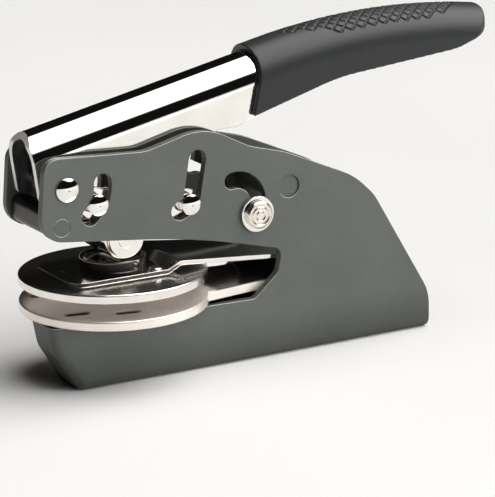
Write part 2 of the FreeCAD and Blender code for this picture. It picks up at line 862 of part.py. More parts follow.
def make_upper_arm():
    """The spring arm: a spade on the upper disc, bent down to the clip's rear."""
    bend = dim.arm_bend_radius
    lower = [
        (dim.spade_front_x - dim.sheet, upper_disc_top),
        (dim.arm_root_x, upper_disc_top, bend),
        (dim.arm_crest_x, upper_disc_top + dim.arm_rise, bend),
        (dim.arm_seat_x, arm_seat_z),
        (dim.clip_rear_x + dim.sheet, arm_seat_z),
    ]
    upper = [(x, z + dim.arm_sheet, *radius) for x, z, *radius in reversed(lower)]
    strip = prism("arm_strip", "XZ_Plane", lower + upper, dim.disc_radius * 2)
    right = [
        (dim.spade_front_x, -dim.spade_front_half, dim.spade_front_radius),
        (dim.arm_root_x, -dim.arm_root_half),
        (dim.arm_enter_x, -dim.clip_half_width),
        (dim.clip_rear_x, -dim.clip_half_width, dim.sheet),
    ]
    left = [(x, -y, *radius) for x, y, *radius in reversed(right)]
    plan = prism("arm_plan", "XY_Plane", right + left, dim.hump_z, arm_top)
    blade = combine("Part::MultiCommon", "arm_blade", [strip, plan])
    height = dim.arm_drop * 4
    tools = [upright("spade_hole", dim.spade_hole_x, 0, arm_top - height / 2,
                     dim.spade_hole_radius, height)]
    tools += rivet_holes("arm_rivet_hole", arm_seat_z, height, dim.clip_rivet_radius + dim.seat_gap)
    for sign, side in ((1, "far"), (-1, "near")):
        tools.append(upright(f"arm_disc_rivet_{side}", dim.disc_rivet_x, dim.disc_rivet_y * sign,
                             arm_top - height / 2, dim.disc_rivet_radius + dim.fit, height))
    tool = combine("Part::MultiFuse", "arm_holes", tools)
    return combine("Part::Cut", "upper_arm", [blade, tool])


def make_upper_die_plate():
    """The upper disc."""
    disc = flat_disc("upper_disc", dim.upper_disc_thickness, upper_disc_z)
    height = dim.upper_disc_thickness * 4
    tools = []
    for sign, side in ((1, "far"), (-1, "near")):
        tools.append(upright(f"disc_rivet_hole_{side}", dim.disc_rivet_x, dim.disc_rivet_y * sign,
                             upper_disc_z - dim.fit, dim.disc_rivet_radius + dim.fit, height))
    tool = combine("Part::MultiFuse", "disc_holes", tools)
    return combine("Part::Cut", "upper_die_plate", [disc, tool])


def make_disc_rivets():
    """Two round-headed rivets that fix the spade to the upper disc."""
    low = upper_disc_z
    top = arm_top + dim.disc_rivet_head
    rivets = []
    for sign, side in ((1, "far"), (-1, "near")):
        profile = [
            (0, low),
            (dim.disc_rivet_radius, low),
            (dim.disc_rivet_radius, arm_top),
            (dim.disc_rivet_head_radius, arm_top),
            (dim.disc_rivet_head_radius, top),
            (0, top),
        ]
        rivet = turned(f"disc_rivet_{side}", "XZ_Plane", profile,
                       dim.disc_rivet_x, dim.disc_rivet_y * sign, 0)
        round_rims(rivet, dim.disc_rivet_head * 0.8, [(dim.disc_rivet_head_radius, top)])
        rivets.append(rivet)
    return combine("Part::Compound", "disc_rivets", rivets)


def make_press_foot():
    """The round pad under the roller, dished on top."""
    top = dim.foot_height
    dish = dim.foot_radius - dim.foot_rim
    body = turned("press_foot", "XZ_Plane", [
        (0, 0),
        (dim.foot_radius, 0),
        (dim.foot_radius, top),
        (dish, top),
        (dish - dim.foot_dish, top - dim.foot_dish),
        (0, top - dim.foot_dish),
    ], 0, 0, arm_top)
    round_rims(body, dim.edge_break, [(dim.foot_radius, top)])
    return body


# ---------------------------------------------------------------- lever

def make_cheek(name, sign):
    """One cheek of the lever: a bell crank from the lever pin to the roller and the guide."""
    body = new_body(name)
    middle = (cheek_outer + cheek_inner) / 2 * sign
    pins = [
        (crank_x, crank_z, dim.cheek_hub_radius),
        (dim.guide_x, dim.guide_z, dim.cheek_arm_half),
        (dim.roller_x, dim.roller_z, dim.roller_cheek_radius),
    ]
    for i, (x, z, radius) in enumerate(pins):
        boss = new_sketch(body, "XZ_Plane", f"boss_{i}")
        boss.setExpression("AttachmentOffset.Base.z", (-middle).text)
        draw_circle(boss, x, z, radius)
        if i == 0:
            extrude(body, boss, dim.cheek_thickness)
            continue
        arm = new_sketch(body, "XZ_Plane", f"arm_{i}")
        arm.setExpression("AttachmentOffset.Base.z", (-middle).text)
        draw_polygon(arm, bar_corners(crank_x, crank_z, x, z, dim.cheek_arm_half))
        extrude(body, arm, dim.cheek_thickness)
        extrude(body, boss, dim.cheek_thickness)
    holes = new_sketch(body, "XZ_Plane", "holes")
    holes.setExpression("AttachmentOffset.Base.z", (-middle).text)
    draw_circle(holes, crank_x, crank_z, dim.pin_radius + dim.fit)
    draw_circle(holes, dim.guide_x, dim.guide_z, dim.pin_radius + dim.fit / 2)
    draw_circle(holes, dim.roller_x, dim.roller_z, dim.roller_axle_radius + dim.fit / 2)
    pocket(body, holes, dim.cheek_thickness * 4)
    return body


def make_roller_axle():
    """The roller's axle, headed over both cheeks."""
    face = cheek_outer + dim.fit
    end = face + dim.side_gap * 0.5
    return turned("roller_axle", "XY_Plane", [
        (0, -end),
        (dim.roller_axle_head, -end),
        (dim.roller_axle_head, -face),
        (dim.roller_axle_radius, -face),
        (dim.roller_axle_radius, face),
        (dim.roller_axle_head, face),
        (dim.roller_axle_head, end),
        (0, end),
    ], dim.roller_x, 0, dim.roller_z)


def make_roller():
    """The hardened roller, free on its axle."""
    half = cheek_inner - dim.side_gap
    bore = dim.roller_axle_radius + dim.fit
    body = turned("press_roller", "XY_Plane", [
        (bore, -half),
        (dim.roller_radius, -half),
        (dim.roller_radius, half),
        (bore, half),
    ], dim.roller_x, 0, dim.roller_z)
    round_rims(body, dim.edge_break, [(dim.roller_radius, half), (dim.roller_radius, -half)])
    return body


def make_cheek_spacer():
    """The tube that holds the cheeks apart on the guide pin."""
    half = cheek_inner - dim.fit
    bore = dim.pin_radius + dim.fit
    return turned("cheek_spacer", "XY_Plane", [
        (bore, -half),
        (dim.cheek_spacer_radius, -half),
        (dim.cheek_spacer_radius, half),
        (bore, half),
    ], dim.guide_x, 0, dim.guide_z)


# ---------------------------------------------------------------- handle

def draw_arch(sketch, radius, depth):
    """A half-round top with straight sides, closed below."""
    normal = Vector(0, 0, 1)
    circle = Part.Circle(Vector(0, 0, 0), normal, radius.number)
    arc = sketch.addGeometry(Part.ArcOfCircle(circle, 0, math.pi))
    right = Vector(radius.number, 0, 0)
    left = Vector(-radius.number, 0, 0)
    drop = Vector(0, -depth.number, 0)
    side = sketch.addGeometry(Part.LineSegment(left, left + drop))
    base = sketch.addGeometry(Part.LineSegment(left + drop, right + drop))
    other = sketch.addGeometry(Part.LineSegment(right + drop, right))
    sketch.addConstraint(Sketcher.Constraint("Coincident", arc, 3, -1, 1))
    set_radius(sketch, arc, radius)
    sketch.addConstraint(Sketcher.Constraint("PointOnObject", arc, 1, -1))
    sketch.addConstraint(Sketcher.Constraint("PointOnObject", arc, 2, -1))
    sketch.addConstraint(Sketcher.Constraint("Coincident", arc, 2, side, 1))
    sketch.addConstraint(Sketcher.Constraint("Coincident", side, 2, base, 1))
    sketch.addConstraint(Sketcher.Constraint("Coincident", base, 2, other, 1))
    sketch.addConstraint(Sketcher.Constraint("Coincident", other, 2, arc, 1))
    sketch.addConstraint(Sketcher.Constraint("Vertical", side))
    sketch.addConstraint(Sketcher.Constraint("Vertical", other))
    sketch.addConstraint(Sketcher.Constraint("Horizontal", base))
    index = sketch.addConstraint(Sketcher.Constraint("DistanceY", side, 2, -1, 1, depth.number))
    sketch.setExpression(f"Constraints[{index}]", depth.text)


def handle_path(body):
    """The handle's centre line: straight from the front, then a long gentle bend down."""
    slope = dim.handle_slope_angle
    start_x = dim.handle_axis_x - dim.handle_lead * cosine(slope)
    start_z = dim.handle_axis_z - dim.handle_lead * sine(slope)
    bend_x = dim.handle_axis_x + dim.handle_straight * cosine(slope)
    bend_z = dim.handle_axis_z + dim.handle_straight * sine(slope)
    centre_x = bend_x + dim.handle_bend_radius * sine(slope)
    centre_z = bend_z - dim.handle_bend_radius * cosine(slope)
    last = as_size(90) + slope - dim.handle_sweep_angle
    end_x = centre_x + dim.handle_bend_radius * cosine(last)
    end_z = centre_z + dim.handle_bend_radius * sine(last)
    path = new_sketch(body, "XZ_Plane", "path")
    begin = Vector(start_x.number, start_z.number, 0)
    bend = Vector(bend_x.number, bend_z.number, 0)
    line = path.addGeometry(Part.LineSegment(begin, bend))
    circle = Part.Circle(Vector(centre_x.number, centre_z.number, 0), Vector(0, 0, 1),
                         dim.handle_bend_radius.number)
    angles = (math.radians(last.number), math.radians(90 + slope.number))
    arc = path.addGeometry(Part.ArcOfCircle(circle, *angles))
    pin_point(path, line, 1, start_x, start_z)
    pin_point(path, line, 2, bend_x, bend_z)
    path.addConstraint(Sketcher.Constraint("Coincident", line, 2, arc, 2))
    pin_point(path, arc, 3, centre_x, centre_z)
    index = path.addConstraint(Sketcher.Constraint("DistanceX", -1, 1, arc, 1, end_x.number))
    path.setExpression(f"Constraints[{index}]", end_x.text)
    doc.recompute()
    return path, start_x, start_z, end_z


def sweep_arch(body, path, start_x, start_z, radius, depth, kind):
    """Add or remove the arch section along the handle's path."""
    section = new_sketch(body, "YZ_Plane", f"{kind}_section")
    section.AttachmentOffset = Placement(Vector(0, 0, 0), Rotation(Vector(1, 0, 0), -1))
    section.setExpression("AttachmentOffset.Base.y", start_z.text)
    section.setExpression("AttachmentOffset.Base.z", start_x.text)
    section.setExpression("AttachmentOffset.Rotation.Angle", (-dim.handle_slope_angle).text)
    draw_arch(section, radius, depth)
    doc.recompute()
    pipe = body.newObject(f"PartDesign::{kind}Pipe", f"{body.Name}_{kind.lower()}")
    pipe.Profile = section
    pipe.Spine = (path, ["Edge1", "Edge2"])
    pipe.Mode = "Frenet"
    doc.recompute()
    return pipe


def arch_bar(name, radius, depth):
    body = new_body(name)
    path, start_x, start_z, end_z = handle_path(body)
    sweep_arch(body, path, start_x, start_z, radius, depth, "Additive")
    return body


def handle_floor(lift):
    """The underside of the grip, raised by an amount: from the mouth to the heel."""
    return [
        (dim.grip_low_mid_x, dim.grip_low_mid_z + lift, dim.waist_radius * 2),
        (dim.grip_low_end_x, dim.grip_low_end_z + lift),
    ]


def make_handle_channel():
    """The pressed channel: arched top, two flanges, lobes for the pins and the lock hook."""
    body = new_body("channel_bar")
    path, start_x, start_z, end_z = handle_path(body)
    sweep_arch(body, path, start_x, start_z, dim.handle_radius, dim.channel_depth, "Additive")
    sweep_arch(body, path, start_x, start_z, dim.handle_radius - dim.handle_sheet,
               dim.channel_depth * 1.5, "Subtractive")
    lobe = dim.crank_lobe
    step = dim.flange_rear_z + dim.grip_floor + dim.fit
    floor = handle_floor(dim.grip_floor + dim.fit)
    rear = dim.grip_end_x - dim.grip_wall_end - dim.fit
    blank = prism("channel_blank", "XZ_Plane", [
        (dim.channel_crown_x, dim.channel_crown_z),
        (dim.channel_front_x, dim.channel_front_z, dim.sheet),
        (dim.channel_toe_x, dim.channel_toe_z, dim.sheet),
        (dim.pivot_x, dim.channel_toe_z, dim.sheet),
        (crank_x - lobe, crank_z - lobe, lobe * 0.9),
        (crank_x + lobe, crank_z - lobe, lobe * 0.9),
        (dim.channel_belly_x, dim.channel_belly_z, lobe),
        (dim.hook_root_x, dim.hook_root_z, lobe),
        (dim.hook_low_x, dim.hook_low_z, dim.sheet),
        (dim.hook_tip_x, dim.hook_low_z, dim.sheet),
        (dim.hook_tip_x, dim.hook_top_z, dim.sheet),
        (dim.notch_x, dim.hook_top_z, dim.edge_break),
        (dim.notch_x, dim.notch_top_z, dim.lock_shaft_radius * 0.8),
        (dim.flange_rise_x, dim.notch_top_z),
        (dim.grip_front_x, dim.flange_rear_z),
        (dim.grip_front_x, step),
        *floor,
        (rear, dim.grip_low_end_z + dim.grip_floor + dim.sheet),
        (rear, dim.grip_crown_z),
        (dim.channel_crown_x, dim.grip_crown_z),
    ], dim.handle_radius * 4)
    shaped = combine("Part::MultiCommon", "channel_shaped", [body, blank])
    holes = []
    for name, x, z, radius in (("pivot", dim.pivot_x, dim.pivot_z, dim.pivot_radius + dim.fit),
                               ("crank", crank_x, crank_z, dim.pin_radius + dim.fit / 2)):
        hole = doc.addObject("Part::Cylinder", f"channel_{name}_hole")
        hole.Placement = Placement(Vector(0, 0, 0), Rotation(Vector(1, 0, 0), -90))
        hole.setExpression("Radius", radius.text)
        hole.setExpression("Height", (dim.handle_radius * 4).text)
        hole.setExpression("Placement.Base.x", x.text)
        hole.setExpression("Placement.Base.y", (dim.handle_radius * -2).text)
        hole.setExpression("Placement.Base.z", z.text)
        holes.append(hole)
    tool = combine("Part::MultiFuse", "channel_holes", holes)
    return combine("Part::Cut", "handle_channel", [shaped, tool])


def make_handle_grip():
    """The moulded grip: a closed sleeve pushed on over the channel."""
    skin = arch_bar("grip_bar", dim.grip_radius, dim.channel_depth)
    side = prism("grip_side", "XZ_Plane", [
        (dim.grip_mouth_x, dim.grip_mouth_z),
        *handle_floor(as_size(0))[:1],
        (dim.grip_low_end_x, dim.grip_low_end_z, dim.waist_radius),
        (dim.grip_heel_x, dim.grip_heel_z, dim.grip_end_radius),
        (dim.grip_end_x, dim.grip_end_top_z, dim.grip_end_radius),
        (dim.grip_low_end_x, dim.grip_end_top_z + dim.grip_wall_end),
        (dim.grip_low_end_x, dim.grip_crown_z),
        (dim.grip_rim_x, dim.grip_crown_z),
        (dim.grip_rim_x, dim.grip_rim_z),
        (dim.grip_throat_x, dim.grip_throat_z, dim.grip_throat_radius),
    ], dim.grip_radius * 4)
    plan = prism("grip_plan", "XY_Plane", [
        (dim.grip_mouth_x - dim.grip_radius, -dim.grip_radius),
        (dim.grip_end_x, -dim.grip_radius, dim.grip_plan_radius),
        (dim.grip_end_x, dim.grip_radius, dim.grip_plan_radius),
        (dim.grip_mouth_x - dim.grip_radius, dim.grip_radius),
    ], dim.grip_crown_z, dim.grip_crown_z)
    outside = combine("Part::MultiCommon", "grip_outside", [skin, side, plan])
    core = arch_bar("grip_core", dim.handle_radius + dim.fit, dim.channel_depth)
    lift = dim.grip_floor
    front = dim.grip_front_x - dim.grip_radius
    rear = dim.grip_end_x - dim.grip_wall_end
    room = prism("grip_room", "XZ_Plane", [
        (front, dim.flange_rear_z - dim.grip_radius),
        (dim.grip_front_x + dim.fit, dim.flange_rear_z - dim.grip_radius),
        (dim.grip_front_x + dim.fit, dim.flange_rear_z + lift),
        *handle_floor(lift),
        (rear, dim.grip_low_end_z + lift + dim.sheet),
        (rear, dim.grip_crown_z),
        (front, dim.grip_crown_z),
    ], dim.grip_radius * 4)
    inside = combine("Part::MultiCommon", "grip_inside", [core, room])
    return combine("Part::Cut", "handle_grip", [outside, inside])


def make_return_spring():
    """A torsion spring on the pivot pin: one leg under the lever pin, one on the spacer."""
    wire = dim.spring_wire.number
    coil = (dim.pivot_radius + dim.spring_clearance + dim.spring_wire / 2).number
    pivot = Vector(dim.pivot_x.number, dim.pivot_z.number, 0)
    crank = Vector(crank_x.number, crank_z.number, 0)

    # the free leg runs below the lever pin, clear of it at full squeeze
    reach = dim.pin_radius.number + wire / 2 + dim.spring_clearance.number
    line = math.radians(dim.crank_rest_angle.number - dim.handle_squeeze_angle.number)
    lean = math.asin((coil - reach) / (crank - pivot).Length)
    free_angle = line - math.pi / 2 + lean

    # the fixed leg hangs behind the front spacer and leans forward on it
    seat = (dim.front_spacer_x + dim.front_spacer_depth - dim.front_spacer_lead).number
    seat += wire / 2 + dim.seat_gap.number
    drop = dim.pivot_z.number - dim.front_spacer_z.number - dim.spring_wire.number
    across = pivot.x - seat
    lean = math.atan2(across, drop) + math.asin(coil / math.hypot(across, drop))
    fixed_angle = -lean

    sweep = free_angle - fixed_angle
    while sweep < 2 * math.pi * dim.spring_turns.number:
        sweep += 2 * math.pi
    pitch = dim.spring_pitch.number
    length = pitch * sweep / (2 * math.pi)
    winding = Part.makeHelix(pitch, length, coil)
    start = Vector(coil, 0, 0)
    # the wound wire has an eight-sided section, which stays light to mesh
    sides = 8
    ring = [math.pi * (2 * i + 1) / sides for i in range(sides + 1)]
    section = Part.makePolygon([start + Vector(math.cos(turn), 0, math.sin(turn)) * (wire / 2)
                                for turn in ring])
    turns = Part.Wire(winding).makePipeShell([section], True, False)
    end = Vector(coil * math.cos(sweep), coil * math.sin(sweep), length)
    heading = Vector(-math.sin(sweep), math.cos(sweep), 0)
    lap = heading * (wire / 4)
    fixed_length = math.sqrt(across ** 2 + drop ** 2 - coil ** 2)
    fixed_leg = Part.makeCylinder(wire / 2, fixed_length, start + Vector(0, wire / 4, 0),
                                  Vector(0, -1, 0))
    free_leg = Part.makeCylinder(wire / 2, (crank - pivot).Length + wire, end - lap, heading)
    feature = doc.addObject("Part::Feature", "return_spring")
    feature.Shape = turns.fuse([fixed_leg, free_leg])
    spin = Rotation(Vector(0, 0, 1), math.degrees(fixed_angle))
    lay = Rotation(Vector(1, 0, 0), 90)
    feature.Placement = Placement(Vector(pivot.x, length / 2, pivot.y), lay * spin)
    return feature


# ---------------------------------------------------------------- lock

def make_lock_button(name, sign):
    """A turned button with ring grooves on its face, on one end of the lock shaft."""
    face = shell_half + dim.side_gap + dim.lock_washer
    end = face + dim.lock_button
    groove = dim.lock_ring_depth
    step = dim.lock_button_radius / 6
    profile = [(dim.lock_shaft_radius + dim.fit / 2, face), (dim.lock_button_radius, face),
               (dim.lock_button_radius, end - groove * 2), (dim.lock_button_radius - groove * 2, end)]
    for i in (4, 2):
        profile += [
            (step * (i + 0.6), end),
            (step * i, end - groove),
            (step * (i - 0.6), end),
        ]
    profile += [(0, end), (0, end - dim.lock_button / 2),
                (dim.lock_shaft_radius + dim.fit / 2, end - dim.lock_button / 2)]
    profile = [(radius, as_size(height) * sign) for radius, height in profile]
    return turned(name, "XY_Plane", profile, lock_x, 0, lock_z)


def make_lock_shaft():
    """The lock's cross shaft; each end sits in a button."""
    end = shell_half + dim.side_gap + dim.lock_washer + dim.lock_button / 2 - dim.fit
    profile = [(0, -end), (dim.lock_shaft_radius, -end), (dim.lock_shaft_radius, end), (0, end)]
    return turned("lock_shaft", "XY_Plane", profile, lock_x, 0, lock_z)


# ---------------------------------------------------------------- assembly

tenon_end = shell_half - dim.tenon_recess
washer_near = shell_half + dim.side_gap - dim.fit
parts = {
    "frame_shell": make_frame_shell(),
    "front_spacer": make_front_spacer(),
    "rear_spacer": make_stepped_rod("rear_spacer", dim.rear_spacer_x, dim.rear_spacer_z,
                                    dim.rear_spacer_radius, dim.rear_tenon_radius, tenon_end),
    "clip_rest_front": make_cross_rod("clip_rest_front", dim.rest_rod_front_x, rest_rod_z,
                                      dim.rest_rod_radius),
    "clip_rest_rear": make_cross_rod("clip_rest_rear", dim.rest_rod_rear_x, rest_rod_z,
                                     dim.rest_rod_radius),
    "clip_stop": make_cross_rod("clip_stop", clip_stop_x, lower_disc_top, dim.rest_rod_radius),
    "handle_pivot_pin": headed_pin("handle_pivot_pin", dim.pivot_x, dim.pivot_z, dim.pivot_radius,
                                   dim.pivot_head_radius, dim.pivot_head, dim.pivot_dome),
    "pivot_washers": ring_pair("pivot_washers", dim.pivot_x, dim.pivot_z,
                               dim.pivot_radius + dim.fit, dim.crank_lobe,
                               dim.handle_radius + dim.fit * 2, inner_half - dim.fit),
    "lower_die_plate": make_lower_die_plate(),
    "clip_spacer": make_clip_spacer(),
    "clip_rivets": make_clip_rivets(),
    "upper_die_plate": make_upper_die_plate(),
    "upper_arm": make_upper_arm(),
    "disc_rivets": make_disc_rivets(),
    "press_foot": make_press_foot(),
    "handle_channel": make_handle_channel(),
    "handle_grip": make_handle_grip(),
    "lever_pin": headed_pin("lever_pin", crank_x, crank_z, dim.pin_radius,
                            dim.pin_head_radius, dim.pin_head, dim.pin_dome),
    "lever_cheek_near": make_cheek("lever_cheek_near", -1),
    "lever_cheek_far": make_cheek("lever_cheek_far", 1),
    "guide_pin": headed_pin("guide_pin", dim.guide_x, dim.guide_z, dim.pin_radius,
                            dim.pin_head_radius, dim.pin_head, dim.pin_dome),
    "cheek_spacer": make_cheek_spacer(),
    "roller_axle": make_roller_axle(),
    "press_roller": make_roller(),
    "lock_shaft": make_lock_shaft(),
    "lock_button_near": make_lock_button("lock_button_near", -1),
    "lock_button_far": make_lock_button("lock_button_far", 1),
    "lock_washers": ring_pair("lock_washers", lock_x, lock_z, dim.lock_shaft_radius + dim.fit,
                              dim.lock_washer_radius, washer_near, washer_near + dim.lock_washer),
    "return_spring": make_return_spring(),
}
doc.recompute()

for item in doc.Objects:
    if "Invalid" in item.State or "Error" in item.State:
        raise RuntimeError(f"{item.Name} failed: {item.State}")
for name, item in parts.items():
    item.Label = name
    if item.Shape.isNull() or not item.Shape.isValid():
        raise RuntimeError(f"{name} has no valid shape")
    if not item.Shape.Solids:
        raise RuntimeError(f"{name} has no solid")

os.makedirs("parts", exist_ok=True)
for name, item in parts.items():
    item.Shape.exportStep(os.path.join("parts", f"{name}.step"))
    box = item.Shape.BoundBox
    print(f"{name:20s} solids {len(item.Shape.Solids)}  volume {item.Shape.Volume:9.1f}  "
          f"x {box.XMin:7.2f}..{box.XMax:7.2f}  y {box.YMin:7.2f}..{box.YMax:7.2f}  "
          f"z {box.ZMin:7.2f}..{box.ZMax:7.2f}")
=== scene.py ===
import json
import math

import bmesh
import bpy
import numpy as np
from mathutils import Matrix, Vector


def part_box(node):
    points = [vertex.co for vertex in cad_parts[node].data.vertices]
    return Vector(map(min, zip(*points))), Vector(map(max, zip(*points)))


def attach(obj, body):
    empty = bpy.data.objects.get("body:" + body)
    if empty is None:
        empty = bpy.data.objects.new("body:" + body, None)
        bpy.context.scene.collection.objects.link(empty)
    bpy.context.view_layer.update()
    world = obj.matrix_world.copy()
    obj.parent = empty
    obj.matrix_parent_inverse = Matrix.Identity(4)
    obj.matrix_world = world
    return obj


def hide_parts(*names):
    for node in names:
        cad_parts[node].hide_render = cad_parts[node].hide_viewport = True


# Hand-held seal embosser: looks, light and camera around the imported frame.
# Metres, same frame as the solids; the near side plate is at y < 0. Colours are linear.

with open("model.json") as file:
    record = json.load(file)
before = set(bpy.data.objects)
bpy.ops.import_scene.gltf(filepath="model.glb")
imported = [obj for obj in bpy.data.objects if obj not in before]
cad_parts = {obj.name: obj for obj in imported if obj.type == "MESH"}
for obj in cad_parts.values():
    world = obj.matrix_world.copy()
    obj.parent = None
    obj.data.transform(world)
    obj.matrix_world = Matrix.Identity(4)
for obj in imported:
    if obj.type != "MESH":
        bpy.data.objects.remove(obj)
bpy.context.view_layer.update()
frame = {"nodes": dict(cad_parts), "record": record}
nodes = frame["nodes"]

MM = 0.001
SHEET = 2.2 * MM

# the camera of the photo: its place, its angles, and its focal length in pixels of the photo
CAMERA_PLACE = Vector((-313.20, -633.42, 229.61)) * MM
CAMERA_AZIMUTH = math.radians(29.302)
CAMERA_ELEVATION = math.radians(15.467)
CAMERA_ROLL = math.radians(-1.085)
CAMERA_NEAR, CAMERA_FAR = 0.02, 20
FOCAL_PIXELS, PHOTO_HEIGHT = 2687.5, 497
SENSOR_WIDTH = 36

# the handle's centre line: where it starts, its slope, its straight length and its bend
HANDLE_X, HANDLE_Z = -24.5 * MM, 62.86 * MM
HANDLE_SLOPE = math.radians(12)
HANDLE_STRAIGHT, HANDLE_BEND = 76.3 * MM, 190 * MM

# the channel's inner radius, the grip's outer one and how near to that a point is on its skin,
# and the voxels and the weld of the grip's mesh
HANDLE_INSIDE = 6.1 * MM
GRIP_RADIUS = 9.72 * MM
GRIP_SKIN = 0.2 * MM
GRIP_VOXEL = 0.3 * MM
GRIP_WELD = 0.001 * MM

# the diamond grooves: spacing along and around, width, edge, depth and how much each diamond leans
KNURL_PITCH, KNURL_RISE = 3.5 * MM, 3.3 * MM
KNURL_GROOVE, KNURL_EDGE = 0.42 * MM, 1.15
KNURL_DEPTH, KNURL_LEAN = 0.45 * MM, 0.3

# how far the finer mesh reaches around the crown and under the skin, and the half-width of the
# pattern at each run along the handle
KNURL_REACH, KNURL_UNDER = 10 * MM, 1.2 * MM
KNURL_HALF = [(run * MM, half * MM) for run, half in (
    (82, -0.1), (83, 1.8), (87, 3.5), (91, 3.5), (94, 5.1),
    (96, 6.9), (124, 6.9), (131, 5.1), (134, 1.8), (135.5, -0.1))]

# the grip's visible end is rounder than its solid: where that starts, how far the end draws in at
# its middle and how much more at its corners, how low the middle lies, the powers by which the
# two set in, and how many relaxing passes there are, over what length and how strong
END_START, END_DRAW, END_ROUND = 134 * MM, 1.0 * MM, 0.6 * MM
END_MIDDLE, END_EASE, CORNER_EASE = 1.5 * MM, 2, 3
END_PASSES, END_BLEND, END_RELAX = 40, 9 * MM, 0.5

# the levels that most of a noise lies between, and the colour sockets of a Mix node
NOISE_LOW, NOISE_HIGH = 0.3, 0.7
MIX_FIRST, MIX_SECOND, MIX_RESULT = 6, 7, 2

# an edge is where the softened normal turns away from the face's own: the cosines of flat and
# sharp, how far an upper edge's normal points up, and how many samples soften it
EDGE_FLAT, EDGE_SHARP, EDGE_SIDE, EDGE_UP = 0.99, 0.86, 0.25, 0.5
EDGE_SAMPLES = 6

# each metal's main colour, the colour of its faint clouds, its roughness and how far that varies
CHROME = (0.86, 0.84, 0.80), (0.80, 0.78, 0.74), 0.05, 0.02
POLISHED_STEEL = (0.90, 0.86, 0.82), (0.84, 0.79, 0.75), 0.10, 0.03
DISC_STEEL = (0.90, 0.86, 0.82), (0.84, 0.79, 0.75), 0.19, 0.008
ARM_STEEL = (0.86, 0.83, 0.79), (0.80, 0.77, 0.73), 0.13, 0.03
DIE_STEEL = (0.92, 0.85, 0.79), (0.84, 0.77, 0.71), 0.32, 0.04
TURNED_STEEL = (0.86, 0.80, 0.73), (0.78, 0.72, 0.66), 0.22, 0.03
FOOT_STEEL = (0.34, 0.32, 0.30), (0.28, 0.26, 0.25), 0.14, 0.01
DARK_STEEL = (0.06, 0.05, 0.048), (0.03, 0.025, 0.025), 0.34, 0.08
SPACER_STEEL = (0.024, 0.020, 0.019), (0.015, 0.012, 0.012), 0.3, 0.08

# the metals' clouds and marks: their scales, and the levels between which they change the
# colour and the roughness; and the radius of the soft edges
METAL_CLOUDS, METAL_MARKS = 140, 2600
CLOUD_COLOUR, CLOUD_ROUGH, MARK_ROUGH = (0.35, 0.65), (0.3, 0.75), (0.3, 0.8)
METAL_ROUND = 0.25 * MM

# the paint's darker and lighter grey, the colour of the painted highlight on its upper edges, and the
# range of its roughness
PAINT_GREYS = (0.076, 0.083, 0.076), (0.089, 0.096, 0.088)
PAINT_EDGE_HIGHLIGHT = (0.62, 0.62, 0.60)
PAINT_ROUGH = 0.36, 0.52

# the paint's clouds, orange peel and flecks: the scales, how dark the peel's valleys are, how bright
# the flecks and on which levels of their noise; and the peel's bump, its strength and depth
PAINT_CLOUDS, PAINT_PEEL, PAINT_FLECKS = 60, 5200, 9000
PEEL_SHADE, FLECK_GLOW, FLECK_LEVELS = 0.78, 0.05, (0.6, 0.75)
PEEL_BUMP = 0.35, 0.06 * MM

# the radius of the paint's soft edges and of the edges with the painted highlight, and the painted shade
# near the floor: between which heights it fades out, and what part of the colour is left under it
PAINT_ROUND, PAINT_HIGHLIGHT_ROUND = 0.35 * MM, 0.4 * MM
PAINTED_SHADE_FULL_BELOW, PAINTED_SHADE_GONE_ABOVE, PAINTED_SHADE_LEFT = -2 * MM, 16 * MM, 0.45

# the rubber's darker and lighter tone and its roughness, its clouds and its moulded grain with
# the grain's shade and bump, and the radius of the soft edges
RUBBER_TONES = (0.009, 0.0100, 0.0112), (0.012, 0.0132, 0.0145)
RUBBER_ROUGH = 0.38, 0.48
RUBBER_CLOUDS, RUBBER_GRAIN = 45, 4200
GRAIN_SHADE, GRAIN_BUMP = 0.86, (0.25, 0.05 * MM)
RUBBER_ROUND = 0.4 * MM

# the inside of the channel, coloured with painted shade: its dark and light greys, roughness and lack of
# metal, its streaks, and the radii where it ends and where the bright outside starts
INSIDE_SHADE_DARK, INSIDE_SHADE_LIGHT, INSIDE_ROUGH, INSIDE_BARE = 0.03, 0.13, 0.34, 0.5
INSIDE_STREAKS, INSIDE_STRETCH = 300, (1, 1, 0.2)
INSIDE_END, OUTSIDE_START = HANDLE_INSIDE + 0.02 * MM, HANDLE_INSIDE + 0.15 * MM

# the channel's front rim: its roughness and lack of metal, and how far a face of it points to -x
RIM_ROUGH, RIM_BARE = 0.3, 0.6
RIM_SIDE, RIM_FRONT = -0.7, -0.85

# half the width over which the front spacer turns from bare steel to paint
PAINT_BLEND = 0.1 * MM

# the rings that the lathe leaves on the lock buttons, with the strength and depth of their bump
RING_PITCH, RING_BUMP = 0.32 * MM, (0.25, 0.02 * MM)

# the lower disc: how metallic it is, and the colour of the painted shade in its slots and on its arm's
# top
DIE_METALLIC, DIE_SHADE = 0.75, (0.06, 0.055, 0.05)

# the slots: how far out they reach and where there are none, and how far under the disc's top
# their painted shade is full and where it hasn't started yet
SLOT_REACH, SLOT_FREE = 20 * MM, 22 * MM
SLOT_DEEP, SLOT_EDGE = 0.7 * MM, 0.15 * MM

# the arm's polish and its painted shade: where they start and are full along x, and the same under its
# top; the polish's roughness
ARM_START, ARM_FULL = 24 * MM, 27 * MM
ARM_DEEP, ARM_TOP = 0.4 * MM, 0.1 * MM
ARM_ROUGH = 0.16

# the floor: half its side, and its greys and roughness with the scales of their noises
FLOOR_REACH = 4
FLOOR_GREYS, FLOOR_CLOUDS = (0.62, 0.66), 3
FLOOR_ROUGH, FLOOR_MARKS = (0.75, 0.9), 40

# the round wall: its reach, height and corners, and its glow, colours and clouds
WALL_REACH, WALL_HEIGHT, WALL_CORNERS = 3.9, 2, 96
WALL_GLOW, WALL_CLOUDS = 0.8, 0.2
WALL_TONES = (0.97, 0.96, 0.94), (1.0, 0.99, 0.97)

